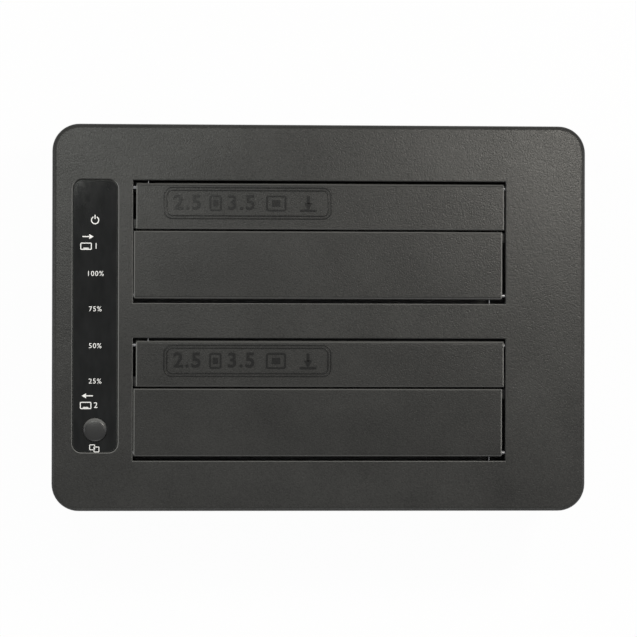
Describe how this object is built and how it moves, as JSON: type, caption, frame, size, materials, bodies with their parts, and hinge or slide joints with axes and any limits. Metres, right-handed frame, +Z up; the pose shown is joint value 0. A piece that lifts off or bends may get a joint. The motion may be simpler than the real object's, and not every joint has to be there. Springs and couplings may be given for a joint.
{
  "type": "drive duplicator",
  "caption": "Desktop docking and cloning station with two sprung double-flap drive bays, a smoked status window and a clone button.",
  "frame": {"origin": "middle of the underside, on the plane that the feet stand on", "axes": "+X to the right along the long side, +Y to the rear with the ports, +Z up"},
  "size_m": [0.15, 0.1096, 0.0655],
  "materials": {
    "housing_black": "fine moulded texture, matt black",
    "flap_black": "fine moulded texture, matt black",
    "guide_black": "smooth moulded, satin black",
    "smoked_window": "polished smoked acrylic",
    "button_black": "satin black",
    "rubber_black": "matt rubber",
    "spring_steel": "dark oiled spring wire",
    "pin_steel": "black oxide steel rod",
    "screw_steel": "zinc plated",
    "board_green": "solder mask",
    "connector_black": "glass filled nylon",
    "contact_gold": "gold plated",
    "port_metal": "nickel plated shell",
    "port_insert": "blue insert",
    "switch_white": "moulded white",
    "lamp_lens": "clear lens",
    "chip_black": "epoxy package",
    "crystal_metal": "metal can",
    "capacitor_sleeve": "shrink sleeve",
    "inductor_grey": "moulded ferrite",
    "ribbon_grey": "flat ribbon lead",
    "header_cream": "nylon header"
  },
  "bodies": {
    "root": {"base_cover": "housing_black", "bay_guide_screws": "screw_steel", "board_header": "header_cream", "board_screws": "screw_steel", "capacitors": "capacitor_sleeve", "clone_switch": "connector_black", "controller_chip": "chip_black", "crystal": "crystal_metal", "front_bay_guide": "guide_black", "front_drive_socket": "connector_black", "front_large_flap_pin": "pin_steel", "front_large_flap_spring": "spring_steel", "front_left_foot": "rubber_black", "front_right_foot": "rubber_black", "front_small_flap_pin": "pin_steel", "front_small_flap_spring": "spring_steel", "front_socket_contacts": "contact_gold", "housing_screws": "screw_steel", "inductors": "inductor_grey", "light_guide": "switch_white", "main_board": "board_green", "memory_chip": "chip_black", "panel_board": "board_green", "panel_header": "header_cream", "panel_lead": "ribbon_grey", "panel_screws": "screw_steel", "power_inlet": "connector_black", "power_inlet_pin": "port_metal", "power_switch_body": "connector_black", "rear_bay_guide": "guide_black", "rear_drive_socket": "connector_black", "rear_large_flap_pin": "pin_steel", "rear_large_flap_spring": "spring_steel", "rear_left_foot": "rubber_black", "rear_right_foot": "rubber_black", "rear_small_flap_pin": "pin_steel", "rear_small_flap_spring": "spring_steel", "rear_socket_contacts": "contact_gold", "status_leds": "lamp_lens", "status_window": "smoked_window", "top_cover": "housing_black", "usb_port_insert": "port_insert", "usb_port_shell": "port_metal"},
    "clone_button": {"clone_button": "button_black", "clone_switch_plunger": "switch_white"},
    "power_rocker": {"power_switch_rocker": "connector_black"},
    "rear_small_flap": {"rear_small_flap": "flap_black"},
    "rear_large_flap": {"rear_large_flap": "flap_black"},
    "front_small_flap": {"front_small_flap": "flap_black"},
    "front_large_flap": {"front_large_flap": "flap_black"}
  },
  "joints": [
    {"name": "rear_small_flap_hinge", "type": "hinge", "parent": "root", "child": "rear_small_flap", "pos_m": [0, 0.03655, 0.0634], "axis": [1, 0, 0], "range_deg": [0, 90], "stiffness_Nm_per_rad": 0.004, "springref_deg": -34.38, "deforming": ["rear_small_flap_spring"]},
    {"name": "rear_large_flap_hinge", "type": "hinge", "parent": "root", "child": "rear_large_flap", "pos_m": [0, 0.00635, 0.0634], "axis": [-1, 0, 0], "range_deg": [0, 90], "stiffness_Nm_per_rad": 0.004, "springref_deg": -34.38, "deforming": ["rear_large_flap_spring"]},
    {"name": "front_small_flap_hinge", "type": "hinge", "parent": "root", "child": "front_small_flap", "pos_m": [0, -0.00765, 0.0634], "axis": [1, 0, 0], "range_deg": [0, 90], "stiffness_Nm_per_rad": 0.004, "springref_deg": -34.38, "deforming": ["front_small_flap_spring"]},
    {"name": "front_large_flap_hinge", "type": "hinge", "parent": "root", "child": "front_large_flap", "pos_m": [0, -0.03785, 0.0634], "axis": [-1, 0, 0], "range_deg": [0, 90], "stiffness_Nm_per_rad": 0.004, "springref_deg": -34.38, "deforming": ["front_large_flap_spring"]},
    {"name": "clone_button_press", "type": "slide", "parent": "root", "child": "clone_button", "axis": [0, 0, -1], "range_m": [0, 0.0005], "stiffness_N_per_m": 1000, "springref_m": -0.0008},
    {"name": "power_rocker_tilt", "type": "hinge", "parent": "root", "child": "power_rocker", "pos_m": [-0.03, 0.05265, 0.017], "axis": [0, 0, 1], "range_deg": [0, 16]}
  ]
}
